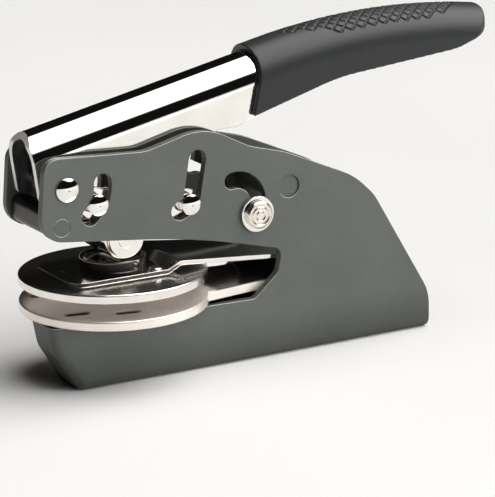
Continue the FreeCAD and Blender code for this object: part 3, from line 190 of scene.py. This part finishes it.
# the ceiling of light: its middle, the angles where it fades out and is full, and both strengths
LIGHT_COLOUR = (1.0, 0.985, 0.96)
CEILING_MIDDLE = Vector((0.5, -0.258, 0.966)).normalized()
CEILING_EDGE, CEILING_FULL = math.radians(39.5), math.radians(31)
ROOM_STRENGTH, CEILING_STRENGTH = 0.006, 4.5

# the soft light from the front right
FILL_PLACE, FILL_AIM = Vector((0.6, -0.95, 0.24)), Vector((0.03, 0, 0.04))
FILL_WIDTH, FILL_HEIGHT, FILL_POWER = 1.3, 0.4, 12


def add_object(name, data):
    thing = bpy.data.objects.new(name, data)
    bpy.context.scene.collection.objects.link(thing)
    return thing


# ---------------------------------------------------------------- camera

def make_camera():
    ahead = Vector((math.sin(CAMERA_AZIMUTH) * math.cos(CAMERA_ELEVATION),
                    math.cos(CAMERA_AZIMUTH) * math.cos(CAMERA_ELEVATION),
                    -math.sin(CAMERA_ELEVATION)))
    level = Vector((math.cos(CAMERA_AZIMUTH), -math.sin(CAMERA_AZIMUTH), 0))
    upright = level.cross(ahead)
    right = level * math.cos(CAMERA_ROLL) + upright * math.sin(CAMERA_ROLL)
    up = upright * math.cos(CAMERA_ROLL) - level * math.sin(CAMERA_ROLL)
    data = bpy.data.cameras.new("photo_camera")
    data.sensor_width = SENSOR_WIDTH
    data.lens = FOCAL_PIXELS / PHOTO_HEIGHT * SENSOR_WIDTH
    data.clip_start, data.clip_end = CAMERA_NEAR, CAMERA_FAR
    camera = add_object("photo_camera", data)
    turn = Matrix((right, up, -ahead)).transposed().to_4x4()
    camera.matrix_world = Matrix.Translation(CAMERA_PLACE) @ turn
    bpy.context.scene.camera = camera


# ---------------------------------------------------------------- materials

def grey(level):
    return level, level, level


class Shader:
    """A material built from procedural nodes around one Principled shader."""

    def __init__(self, name, **values):
        self.material = bpy.data.materials.new(name)
        self.material.use_nodes = True
        self.tree = self.material.node_tree
        self.surface = self.tree.nodes["Principled BSDF"]
        for key, value in values.items():
            self.surface.inputs[key.replace("_", " ")].default_value = value
        self.place = self.add("TexCoord").outputs["Object"]

    def add(self, kind, values=None, **settings):
        """A node with its settings and the values of its inputs."""
        node = self.tree.nodes.new("ShaderNode" + kind)
        for key, value in settings.items():
            setattr(node, key, value)
        for key, value in (values or {}).items():
            node.inputs[key].default_value = value
        return node

    def link(self, source, target):
        self.tree.links.new(source, target)

    def feed(self, target, value):
        """Give an input a number, a colour or another node's result."""
        if isinstance(value, (int, float)):
            target.default_value = value
        elif isinstance(value, tuple):
            target.default_value = (*value, 1)
        else:
            self.link(value, target)

    def math(self, operation, first, second=0.0):
        node = self.add("Math", operation=operation)
        self.feed(node.inputs[0], first)
        self.feed(node.inputs[1], second)
        return node.outputs[0]

    def flip(self, value):
        return self.math("SUBTRACT", 1.0, value)

    def length(self, first, second):
        """The length of a vector with these two parts."""
        squares = [self.math("POWER", self.math("ABSOLUTE", part), 2.0) for part in (first, second)]
        return self.math("POWER", self.math("ADD", *squares), 0.5)

    def noise(self, scale, detail=3.0, rough=0.5, stretch=None):
        """Noise in steps of 1/scale metres, 0 to 1; stretch scales each axis."""
        node = self.add("TexNoise", {"Scale": scale, "Detail": detail, "Roughness": rough})
        source = self.place
        if stretch:
            mapping = self.add("Mapping", {"Scale": stretch})
            self.link(source, mapping.inputs["Vector"])
            source = mapping.outputs["Vector"]
        self.link(source, node.inputs["Vector"])
        return node.outputs["Fac"]

    def ramp(self, factor, first, last, low=NOISE_LOW, high=NOISE_HIGH):
        """From first to last, grey levels or colours, as the factor goes from low to high."""
        node = self.add("ValToRGB")
        for element, position, colour in zip(node.color_ramp.elements, (low, high), (first, last)):
            element.position = position
            element.color = (*(colour if isinstance(colour, tuple) else grey(colour)), 1)
        self.link(factor, node.inputs["Fac"])
        return node.outputs["Color"]

    def mix(self, factor, first, second, kind="MIX"):
        node = self.add("Mix", data_type="RGBA", blend_type=kind)
        self.feed(node.inputs[0], factor)
        self.feed(node.inputs[MIX_FIRST], first)
        self.feed(node.inputs[MIX_SECOND], second)
        return node.outputs[MIX_RESULT]

    def bump(self, height, strength, distance, below):
        node = self.add("Bump", {"Strength": strength, "Distance": distance})
        self.link(height, node.inputs["Height"])
        self.link(below, node.inputs["Normal"])
        return node.outputs["Normal"]

    def soft_edge(self, radius):
        return self.add("Bevel", {"Radius": radius}, samples=EDGE_SAMPLES).outputs["Normal"]

    def step(self, value, low, high):
        """0 at low and 1 at high, with a smooth step between."""
        node = self.add("MapRange", {"From Min": low, "From Max": high}, interpolation_type="SMOOTHSTEP")
        self.link(value, node.inputs["Value"])
        return node.outputs["Result"]

    def parts(self, vector):
        node = self.add("SeparateXYZ")
        self.link(vector, node.inputs[0])
        return node.outputs

    def facing(self):
        return self.add("NewGeometry").outputs["Normal"]

    def upper_edges(self, radius):
        """1 on the sharp edges that face up, 0 on flat faces."""
        bent = self.soft_edge(radius)
        turn = self.add("VectorMath", operation="DOT_PRODUCT")
        self.link(bent, turn.inputs[0])
        self.link(self.facing(), turn.inputs[1])
        edge = self.step(turn.outputs["Value"], EDGE_FLAT, EDGE_SHARP)
        return self.math("MULTIPLY", edge, self.step(self.parts(bent)[2], EDGE_SIDE, EDGE_UP))

    def finish(self, colour=None, roughness=None, normal=None):
        for source, key in ((colour, "Base Color"), (roughness, "Roughness"), (normal, "Normal")):
            if source:
                self.link(source, self.surface.inputs[key])
        return self.material


def paint_coat(shader):
    """Satin grey powder paint: orange peel, flecks, a painted highlight on the upper edges, painted
    shade near the floor.
    """
    peel = shader.noise(PAINT_PEEL, detail=2, rough=0.7)
    tone = shader.ramp(shader.noise(PAINT_CLOUDS), *PAINT_GREYS)
    colour = shader.mix(1.0, tone, shader.ramp(peel, PEEL_SHADE, 1.0), "MULTIPLY")
    flecks = shader.noise(PAINT_FLECKS, detail=1, rough=0.4)
    colour = shader.mix(1.0, colour, shader.ramp(flecks, 0.0, FLECK_GLOW, *FLECK_LEVELS), "ADD")
    # painted shade: the paint's colour darkens towards the floor
    out_of_shade = shader.step(shader.parts(shader.place)[2], PAINTED_SHADE_FULL_BELOW, PAINTED_SHADE_GONE_ABOVE)
    colour = shader.mix(1.0, colour, shader.ramp(out_of_shade, PAINTED_SHADE_LEFT, 1.0, 0.0, 1.0), "MULTIPLY")
    # painted highlight: the sharp edges that face up are coloured light grey
    colour = shader.mix(shader.upper_edges(PAINT_HIGHLIGHT_ROUND), colour, PAINT_EDGE_HIGHLIGHT)
    normal = shader.bump(peel, *PEEL_BUMP, shader.soft_edge(PAINT_ROUND))
    return colour, shader.ramp(peel, *PAINT_ROUGH), normal


def paint():
    shader = Shader("frame_paint", Specular_IOR_Level=0.35, Coat_Weight=0.08, Coat_Roughness=0.3)
    return shader.finish(*paint_coat(shader))


def metal_coat(shader, look):
    """Metal with faint clouds, fine marks, soft edges and uneven polish."""
    tone, shade, roughness, spread = look
    smooth, dull = roughness - spread, roughness + spread
    clouds = shader.noise(METAL_CLOUDS)
    marks = shader.noise(METAL_MARKS, rough=0.6)
    colour = shader.mix(shader.ramp(clouds, 0.0, 1.0, *CLOUD_COLOUR), shade, tone)
    rough = shader.mix(0.5, shader.ramp(clouds, smooth, dull, *CLOUD_ROUGH),
                       shader.ramp(marks, smooth, dull, *MARK_ROUGH))
    return colour, rough, shader.soft_edge(METAL_ROUND)


def metal(name, look):
    shader = Shader(name, Metallic=1.0)
    return shader.finish(*metal_coat(shader, look))


def channel_chrome():
    """Bright chrome outside, satin on the front rim, and inside painted shade in dark streaked greys."""
    shader = Shader("channel_chrome", Metallic=1.0)
    colour, rough, normal = metal_coat(shader, CHROME)
    x, y, z = shader.parts(shader.place)
    along = shader.math("MULTIPLY", shader.math("SUBTRACT", x, HANDLE_X), math.sin(HANDLE_SLOPE))
    over = shader.math("MULTIPLY", shader.math("SUBTRACT", z, HANDLE_Z), math.cos(HANDLE_SLOPE))
    over = shader.math("MAXIMUM", shader.math("SUBTRACT", over, along), 0.0)
    outside = shader.step(shader.length(over, y), INSIDE_END, OUTSIDE_START)
    # painted shade: inside the channel the colour is dark streaked grey instead of chrome
    streaks = shader.noise(INSIDE_STREAKS, rough=0.6, stretch=INSIDE_STRETCH)
    colour = shader.mix(outside, shader.ramp(streaks, INSIDE_SHADE_DARK, INSIDE_SHADE_LIGHT), colour)
    rough = shader.mix(outside, grey(INSIDE_ROUGH), rough)
    front = shader.step(shader.parts(shader.facing())[0], RIM_SIDE, RIM_FRONT)
    rim = shader.math("MULTIPLY", outside, front)
    rough = shader.mix(rim, rough, grey(RIM_ROUGH))
    bare = shader.math("MAXIMUM", shader.math("MULTIPLY", rim, RIM_BARE),
                       shader.math("MULTIPLY", shader.flip(outside), INSIDE_BARE))
    shader.link(shader.flip(bare), shader.surface.inputs["Metallic"])
    return shader.finish(colour, rough, normal)


def spacer_finish(inner):
    """Dark steel between the plates; the riveted ends are painted over with the frame."""
    shader = Shader("spacer_finish", Specular_IOR_Level=0.25)
    dark, dark_rough, normal = metal_coat(shader, SPACER_STEEL)
    colour, rough, _ = paint_coat(shader)
    side = shader.math("ABSOLUTE", shader.parts(shader.place)[1])
    painted = shader.step(side, inner - PAINT_BLEND, inner + PAINT_BLEND)
    return shader.finish(shader.mix(painted, dark, colour),
                         shader.mix(painted, dark_rough, rough), normal)


def turned_steel(node):
    """Satin steel faced on a lathe: fine rings round the node's own axis across the plates."""
    shader = Shader("turned_" + node, Metallic=1.0)
    colour, rough, normal = metal_coat(shader, TURNED_STEEL)
    low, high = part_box(node)
    middle = (low + high) / 2
    x, _, z = shader.parts(shader.place)
    out = shader.length(shader.math("SUBTRACT", x, middle.x), shader.math("SUBTRACT", z, middle.z))
    rings = shader.math("SINE", shader.math("MULTIPLY", out, 2 * math.pi / RING_PITCH))
    return shader.finish(colour, rough, shader.bump(rings, *RING_BUMP, normal))


def die_steel(node):
    """Satin steel on the lower disc, with painted shade in its slots, and a smoother polish with painted
    shade along the arm's top.
    """
    shader = Shader("satin_steel", Metallic=DIE_METALLIC)
    colour, rough, normal = metal_coat(shader, DIE_STEEL)
    x, y, z = shader.parts(shader.place)
    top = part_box(node)[1].z
    sunk = shader.flip(shader.step(z, top - SLOT_DEEP, top - SLOT_EDGE))
    slots = shader.math("MULTIPLY", sunk, shader.step(shader.length(x, y), SLOT_FREE, SLOT_REACH))
    arm = shader.math("MULTIPLY", shader.step(z, top - ARM_DEEP, top - ARM_TOP),
                      shader.step(x, ARM_START, ARM_FULL))
    # painted shade: the slots and the arm's top are coloured dark
    colour = shader.mix(shader.math("MAXIMUM", slots, arm), colour, DIE_SHADE)
    rough = shader.mix(arm, rough, grey(ARM_ROUGH))
    return shader.finish(colour, rough, normal)


def rubber():
    """Matte charcoal moulded rubber with a fine moulded grain."""
    shader = Shader("grip_rubber", Sheen_Weight=0.05, Sheen_Roughness=0.5, Specular_IOR_Level=0.45)
    grain = shader.noise(RUBBER_GRAIN, rough=0.65)
    tone = shader.ramp(shader.noise(RUBBER_CLOUDS), *RUBBER_TONES)
    colour = shader.mix(1.0, tone, shader.ramp(grain, GRAIN_SHADE, 1.0), "MULTIPLY")
    normal = shader.bump(grain, *GRAIN_BUMP, shader.soft_edge(RUBBER_ROUND))
    return shader.finish(colour, shader.ramp(grain, *RUBBER_ROUGH), normal)


def dress():
    """Each node gets the finish of its slot, and the nodes with a look of their own get that."""
    finishes = {
        "frame_paint": paint(),
        "dark_steel": metal("dark_steel", DARK_STEEL),
        "polished_steel": metal("polished_steel", POLISHED_STEEL),
        "chrome": metal("chrome", CHROME),
        "grip_rubber": rubber(),
    }
    for part in frame["record"]["subparts"]:
        node = nodes[part["node"]]
        node.data.materials.clear()
        node.data.materials.append(finishes[part["material_slot"]])
    plate_inner = -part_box("front_spacer")[0].y - SHEET
    own = {
        "handle_channel": channel_chrome(),
        "front_spacer": spacer_finish(plate_inner),
        "lower_die_plate": die_steel("lower_die_plate"),
        "upper_die_plate": metal("disc_steel", DISC_STEEL),
        "upper_arm": metal("arm_steel", ARM_STEEL),
        "press_foot": metal("foot_steel", FOOT_STEEL),
        "lock_button_near": turned_steel("lock_button_near"),
        "lock_button_far": turned_steel("lock_button_far"),
    }
    for name, finish in own.items():
        nodes[name].data.materials[0] = finish


# ---------------------------------------------------------------- grip

def handle_place(points):
    """Run along the handle's centre line, height over it, side, and the line's slope there."""
    x, y, z = points.T
    ahead, up = math.cos(HANDLE_SLOPE), math.sin(HANDLE_SLOPE)
    run = (x - HANDLE_X) * ahead + (z - HANDLE_Z) * up
    height = (z - HANDLE_Z) * ahead - (x - HANDLE_X) * up
    centre_x = HANDLE_X + HANDLE_STRAIGHT * ahead + HANDLE_BEND * up
    centre_z = HANDLE_Z + HANDLE_STRAIGHT * up - HANDLE_BEND * ahead
    turn = math.pi / 2 + HANDLE_SLOPE - np.arctan2(z - centre_z, x - centre_x)
    bent = run > HANDLE_STRAIGHT
    run = np.where(bent, HANDLE_STRAIGHT + HANDLE_BEND * turn, run)
    height = np.where(bent, np.hypot(x - centre_x, z - centre_z) - HANDLE_BEND, height)
    slope = np.where(bent, HANDLE_SLOPE - turn, HANDLE_SLOPE)
    return run, height, y, slope


def groove_depth(run, around):
    """Depth of the crossing grooves at a run along the handle and a way around its crown."""
    first = run / KNURL_PITCH + around / KNURL_RISE
    second = run / KNURL_PITCH - around / KNURL_RISE

    def inside(a, b):
        limit = np.interp((a + b) / 2 * KNURL_PITCH, *zip(*KNURL_HALF))
        return np.abs(a - b) / 2 * KNURL_RISE < limit

    gap = 1 / math.hypot(1 / KNURL_PITCH, 1 / KNURL_RISE)
    depth = np.zeros_like(run)
    for a, b in ((first, second), (second, first)):
        line, cell = np.round(a), np.floor(b) + 0.5
        near = np.clip(KNURL_EDGE - np.abs(a - line) * gap / KNURL_GROOVE, 0, 1)
        cut = inside(line - 0.5, cell) | inside(line + 0.5, cell)
        depth = np.maximum(depth, near * cut)
    lean = inside(np.floor(first) + 0.5, np.floor(second) + 0.5) * (first % 1 + second % 1) / 2
    return KNURL_DEPTH * np.maximum(depth, lean * KNURL_LEAN)


def edit(mesh, change):
    """Let change work on the mesh as a net of vertices, edges and faces."""
    net = bmesh.new()
    net.from_mesh(mesh)
    change(net)
    net.to_mesh(mesh)
    net.free()


def weld(net):
    bmesh.ops.remove_doubles(net, verts=net.verts, dist=GRIP_WELD)


def refine_crown(net):
    """Halve the edges where the grooves go."""
    middles = np.array([edge.verts[0].co + edge.verts[1].co for edge in net.edges]) / 2
    run, height, side, _ = handle_place(middles)
    skin = np.hypot(height, side) > GRIP_RADIUS - KNURL_UNDER
    crown = (height > 0) & (np.abs(np.arctan2(side, height)) * GRIP_RADIUS < KNURL_REACH)
    first, last = KNURL_HALF[0][0] - KNURL_PITCH, KNURL_HALF[-1][0] + KNURL_PITCH
    zone = skin & crown & (run > first) & (run < last)
    edges = [edge for edge, chosen in zip(net.edges, zone) if chosen]
    bmesh.ops.subdivide_edges(net, edges=edges, cuts=1, use_grid_fill=True)
    bmesh.ops.triangulate(net, faces=[face for face in net.faces if len(face.verts) > 4])


def relax_end(net):
    """Round the edges at the closed end, by letting points relax in passes that start later each."""
    run = handle_place(np.array([vert.co for vert in net.verts]))[0]
    for start in np.linspace(END_START, END_START + END_BLEND, END_PASSES):
        chosen = [vert for vert, along in zip(net.verts, run) if along > start]
        bmesh.ops.smooth_vert(net, verts=chosen, factor=END_RELAX,
                              use_axis_x=True, use_axis_y=True, use_axis_z=True)


def even_mesh(solid):
    """The solid's mesh again, welded and rebuilt from small voxels."""
    draft = add_object("grip_draft", solid.data.copy())
    edit(draft.data, weld)
    voxels = draft.modifiers.new("voxels", "REMESH")
    voxels.mode = "VOXEL"
    voxels.voxel_size = GRIP_VOXEL
    bpy.context.view_layer.update()
    view = bpy.context.evaluated_depsgraph_get()
    mesh = bpy.data.meshes.new_from_object(draft.evaluated_get(view))
    bpy.data.objects.remove(draft)
    return mesh


def pressed(points):
    """The points with the grooves pressed into the crown and the closed end drawn in."""
    run, height, side, slope = handle_place(points)
    over = np.maximum(height, 0)
    reach = np.hypot(over, side)
    on_skin = np.abs(reach - GRIP_RADIUS) < GRIP_SKIN
    goal = GRIP_RADIUS - groove_depth(run, np.arctan2(side, over) * GRIP_RADIUS) * (height > 0)
    shift = np.where(on_skin, goal - reach, 0) / np.maximum(reach, MM)
    new_side = side + side * shift
    late = np.clip((run - END_START) / (run.max() - END_START), 0, 1) ** END_EASE
    off_middle = np.clip(np.hypot(height + END_MIDDLE, new_side) / GRIP_RADIUS, 0, 1) ** CORNER_EASE
    draw = late * (END_DRAW + END_ROUND * off_middle)
    x, _, z = points.T
    return np.stack((x - over * shift * np.sin(slope) - draw * np.cos(slope),
                     new_side,
                     z + over * shift * np.cos(slope) - draw * np.sin(slope)), axis=1)


def make_grip():
    """The rubber grip as a fine mesh, with diamond grooves in its crown and a rounder end."""
    solid = nodes["handle_grip"]
    mesh = even_mesh(solid)
    edit(mesh, refine_crown)
    edit(mesh, relax_end)
    flat = np.zeros(len(mesh.vertices) * 3)
    mesh.vertices.foreach_get("co", flat)
    low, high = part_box("handle_grip")
    mesh.vertices.foreach_set("co", np.clip(pressed(flat.reshape(-1, 3)), low, high).ravel())
    mesh.update()
    mesh.shade_smooth()
    mesh.materials.clear()
    mesh.materials.append(solid.data.materials[0])
    grip = add_object("grip_sleeve", mesh)
    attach(grip, "handle")
    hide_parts("handle_grip")


# ---------------------------------------------------------------- studio

def make_floor():
    mesh = bpy.data.meshes.new("floor")
    corners = [(x * FLOOR_REACH, y * FLOOR_REACH, 0) for x, y in ((-1, -1), (1, -1), (1, 1), (-1, 1))]
    mesh.from_pydata(corners, [], [(0, 1, 2, 3)])
    floor = add_object("floor", mesh)
    shader = Shader("floor", Specular_IOR_Level=0.2)
    tone = shader.ramp(shader.noise(FLOOR_CLOUDS, detail=2), *FLOOR_GREYS)
    rough = shader.ramp(shader.noise(FLOOR_MARKS, detail=2), *FLOOR_ROUGH)
    mesh.materials.append(shader.finish(tone, rough))


def make_backdrop():
    """A pale round wall at the floor's edge, for low views; it neither lights nor is mirrored."""
    angles = [2 * math.pi * step / WALL_CORNERS for step in range(WALL_CORNERS)]
    corners = [(math.cos(angle) * WALL_REACH, math.sin(angle) * WALL_REACH, z)
               for z in (0, WALL_HEIGHT) for angle in angles]
    after = [*range(1, WALL_CORNERS), 0]
    faces = [(k, after[k], WALL_CORNERS + after[k], WALL_CORNERS + k) for k in range(WALL_CORNERS)]
    mesh = bpy.data.meshes.new("backdrop")
    mesh.from_pydata(corners, [], faces)
    wall = add_object("backdrop", mesh)
    wall.visible_diffuse = False
    wall.visible_glossy = False
    wall.visible_transmission = False
    wall.visible_shadow = False
    shader = Shader("backdrop", Base_Color=(0, 0, 0, 1), Specular_IOR_Level=0,
                    Emission_Strength=WALL_GLOW)
    tone = shader.ramp(shader.noise(WALL_CLOUDS, detail=2), *WALL_TONES)
    shader.link(tone, shader.surface.inputs["Emission Color"])
    mesh.materials.append(shader.finish())


def make_ceiling():
    """A large soft ceiling of light, tilted to the right and a little to the front, in a dim room."""
    world = bpy.data.worlds.new("studio")
    world.use_nodes = True
    bpy.context.scene.world = world
    tree = world.node_tree
    sky = tree.nodes["Background"]
    sky.inputs["Color"].default_value = (*LIGHT_COLOUR, 1)
    coords = tree.nodes.new("ShaderNodeTexCoord")
    aim = tree.nodes.new("ShaderNodeVectorMath")
    aim.operation = "DOT_PRODUCT"
    aim.inputs[1].default_value = CEILING_MIDDLE
    edge = tree.nodes.new("ShaderNodeMapRange")
    edge.interpolation_type = "SMOOTHSTEP"
    for key, value in (("From Min", math.cos(CEILING_EDGE)), ("From Max", math.cos(CEILING_FULL)),
                       ("To Min", ROOM_STRENGTH), ("To Max", CEILING_STRENGTH)):
        edge.inputs[key].default_value = value
    tree.links.new(coords.outputs["Generated"], aim.inputs[0])
    tree.links.new(aim.outputs["Value"], edge.inputs["Value"])
    tree.links.new(edge.outputs["Result"], sky.inputs["Strength"])


def make_fill():
    """A weak soft light from the front right, which no polished face mirrors."""
    data = bpy.data.lights.new("front_fill", "AREA")
    data.shape = "RECTANGLE"
    data.size, data.size_y = FILL_WIDTH, FILL_HEIGHT
    data.energy = FILL_POWER
    light = add_object("front_fill", data)
    light.location = FILL_PLACE
    light.rotation_mode = "QUATERNION"
    light.rotation_quaternion = (FILL_AIM - FILL_PLACE).to_track_quat("-Z", "Y")
    light.visible_glossy = False


bpy.context.scene.view_settings.view_transform = "Standard"
make_camera()
dress()
make_grip()
make_floor()
make_backdrop()
make_ceiling()
make_fill()
bpy.context.view_layer.update()
